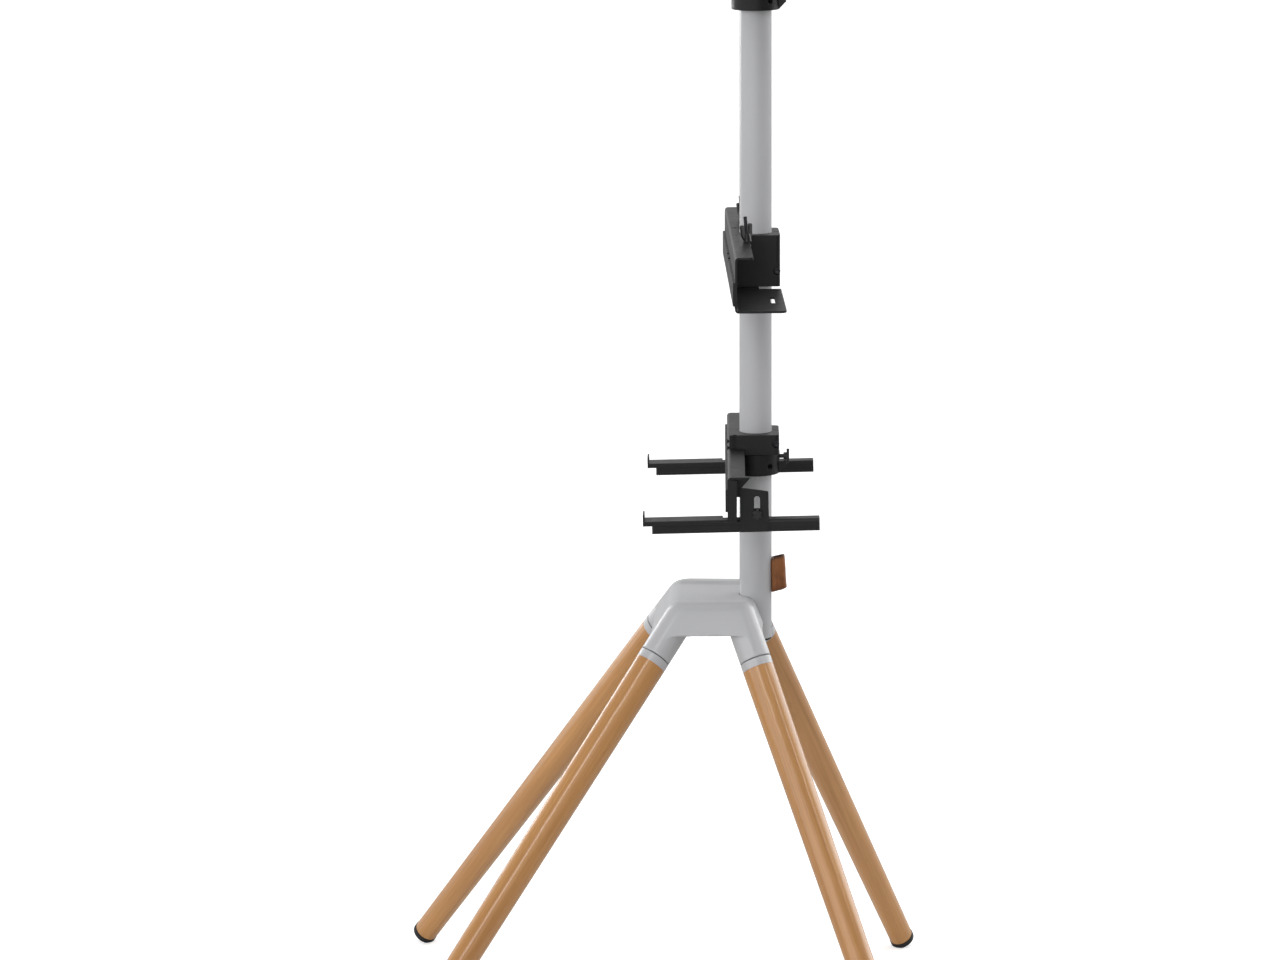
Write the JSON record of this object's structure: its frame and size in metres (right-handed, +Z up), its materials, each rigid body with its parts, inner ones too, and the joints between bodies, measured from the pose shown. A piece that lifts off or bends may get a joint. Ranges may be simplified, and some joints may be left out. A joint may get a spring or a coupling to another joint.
{
  "type": "floor easel display stand",
  "caption": "Easel-style floor stand for a flat display: steel pole in a cast hub on splayed wooden legs, with sliding pole clamps for a tray bracket, a crossbar and a tilting display plate.",
  "frame": {"origin": "on the floor, at the centre of the four feet; the pole's axis stands 127 mm behind it, at Y = +0.127 m", "axes": "+Z up along the pole, -Y towards the display side, +X the stand's own left"},
  "size_m": [0.683, 0.6581, 1.4095],
  "materials": {
    "grey_paint": "satin light grey powder coat",
    "black_paint": "satin black powder coat",
    "oiled_wood": "satin lacquered beech",
    "zinc": "bright zinc plate",
    "dark_steel": "blackened steel",
    "rubber": "matte",
    "leather": "brown, smooth grain",
    "black_plastic": "fine texture"
  },
  "bodies": {
    "stand": {"base_hub": "grey_paint", "hub_underplate": "grey_paint", "underplate_screws": "zinc", "pole": "grey_paint", "pole_insert": "zinc", "pole_bolts": "zinc", "pole_cap": "black_plastic", "pole_foot_plug": "black_plastic", "leg_front_left": "oiled_wood", "leg_front_right": "oiled_wood", "leg_rear_left": "oiled_wood", "leg_rear_right": "oiled_wood", "leg_ferrules": "grey_paint", "leg_studs": "zinc", "socket_grub_screws": "dark_steel", "foot_pads": "rubber", "leather_cable_loop": "leather", "loop_screws": "zinc"},
    "lower_collar": {"lower_stop_collar": "black_paint"},
    "lower_collar_screw": {"lower_thumb_screw": "black_plastic"},
    "lower_bracket": {"lower_clamp": "black_paint", "lower_clamp_bush": "black_plastic", "lower_clamp_screw": "dark_steel", "lower_crossbar": "black_paint", "lower_front_strip": "black_paint", "lower_bar_screws": "dark_steel", "arm_hangers": "black_paint", "hanger_screws": "dark_steel"},
    "left_height_knob": {"height_knob_left": "black_plastic"},
    "right_height_knob": {"height_knob_right": "black_plastic"},
    "left_arm": {"arm_tube_left": "black_paint", "arm_plugs_left": "black_plastic", "slot_plate_left": "black_paint"},
    "right_arm": {"arm_tube_right": "black_paint", "arm_plugs_right": "black_plastic", "slot_plate_right": "black_paint"},
    "left_tray": {"tray_rail_left": "black_paint"},
    "right_tray": {"tray_rail_right": "black_paint"},
    "middle_sleeve": {"middle_bush": "black_plastic"},
    "middle_bracket": {"middle_clamp": "black_paint", "middle_clamp_screw": "dark_steel", "middle_crossbar": "black_paint", "middle_front_strip": "black_paint", "middle_bar_screws": "dark_steel", "hook_bolts": "dark_steel"},
    "left_wing_nut": {"wing_nut_left": "black_paint"},
    "right_wing_nut": {"wing_nut_right": "black_paint"},
    "upper_collar": {"upper_stop_collar": "black_paint"},
    "upper_collar_screw": {"upper_thumb_screw": "black_plastic"},
    "head": {"head_clamp": "black_paint", "head_bush": "black_plastic", "head_clamp_screw": "dark_steel", "head_crossbar": "black_paint", "head_front_strip": "black_paint", "head_bar_screws": "dark_steel", "tilt_yoke": "black_paint", "tilt_pin": "zinc"},
    "display": {"display_plate": "black_paint"},
    "tilt_lock": {"tilt_knob": "black_plastic"}
  },
  "joints": [
    {"name": "lower_bracket_height", "type": "slide", "parent": "stand", "child": "lower_collar", "axis": [0, 0, 1], "range_m": [-0.08, 0.04]},
    {"name": "lower_collar_screw_turn", "type": "hinge", "parent": "lower_collar", "child": "lower_collar_screw", "pos_m": [0, 0.163, 0.7045], "axis": [0, 1, 0], "continuous": true},
    {"name": "lower_bracket_swivel", "type": "hinge", "parent": "lower_collar", "child": "lower_bracket", "pos_m": [0, 0.127, 0.7195], "axis": [0, 0, 1], "range_deg": [-20, 20]},
    {"name": "left_knob_turn", "type": "hinge", "parent": "lower_bracket", "child": "left_height_knob", "pos_m": [0.1861, 0.13302, 0.6719], "axis": [0.9996, 0.0297, 0], "continuous": true},
    {"name": "right_knob_turn", "type": "hinge", "parent": "lower_bracket", "child": "right_height_knob", "pos_m": [-0.18613, 0.12198, 0.6719], "axis": [0.9996, 0.0297, 0], "continuous": true},
    {"name": "left_arm_height", "type": "slide", "parent": "lower_bracket", "child": "left_arm", "axis": [0.0005, -0.0166, 0.9999], "range_m": [-0.016, 0]},
    {"name": "right_arm_height", "type": "slide", "parent": "lower_bracket", "child": "right_arm", "axis": [0.0005, -0.0166, 0.9999], "range_m": [-0.016, 0]},
    {"name": "left_tray_reach", "type": "slide", "parent": "left_arm", "child": "left_tray", "axis": [0.0297, -0.9994, -0.0166], "range_m": [0, 0.05]},
    {"name": "right_tray_reach", "type": "slide", "parent": "right_arm", "child": "right_tray", "axis": [0.0297, -0.9994, -0.0166], "range_m": [0, 0.05]},
    {"name": "middle_bracket_height", "type": "slide", "parent": "stand", "child": "middle_sleeve", "axis": [0, 0, 1], "range_m": [-0.12, 0.1]},
    {"name": "middle_bracket_swivel", "type": "hinge", "parent": "middle_sleeve", "child": "middle_bracket", "pos_m": [0, 0.127, 0.9535], "axis": [0, 0, 1], "range_deg": [-20, 20]},
    {"name": "left_wing_nut_turn", "type": "hinge", "parent": "middle_bracket", "child": "left_wing_nut", "pos_m": [0.08962, 0.11885, 0.9835], "axis": [0.005, -0.087, 0.9962], "continuous": true},
    {"name": "right_wing_nut_turn", "type": "hinge", "parent": "middle_bracket", "child": "right_wing_nut", "pos_m": [-0.08809, 0.1086, 0.9835], "axis": [0.005, -0.087, 0.9962], "continuous": true},
    {"name": "head_height", "type": "slide", "parent": "stand", "child": "upper_collar", "axis": [0, 0, 1], "range_m": [-0.1, 0.02]},
    {"name": "upper_collar_screw_turn", "type": "hinge", "parent": "upper_collar", "child": "upper_collar_screw", "pos_m": [0, 0.163, 1.2797], "axis": [0, 1, 0], "continuous": true},
    {"name": "head_swivel", "type": "hinge", "parent": "upper_collar", "child": "head", "pos_m": [0, 0.127, 1.3555], "axis": [0, 0, 1], "range_deg": [-20, 20]},
    {"name": "display_tilt", "type": "hinge", "parent": "head", "child": "display", "pos_m": [0, 0.079, 1.3495], "axis": [1, 0, 0], "range_deg": [-5, 15]},
    {"name": "tilt_knob_turn", "type": "hinge", "parent": "head", "child": "tilt_lock", "pos_m": [0.05, 0.079, 1.3495], "axis": [1, 0, 0], "continuous": true}
  ]
}
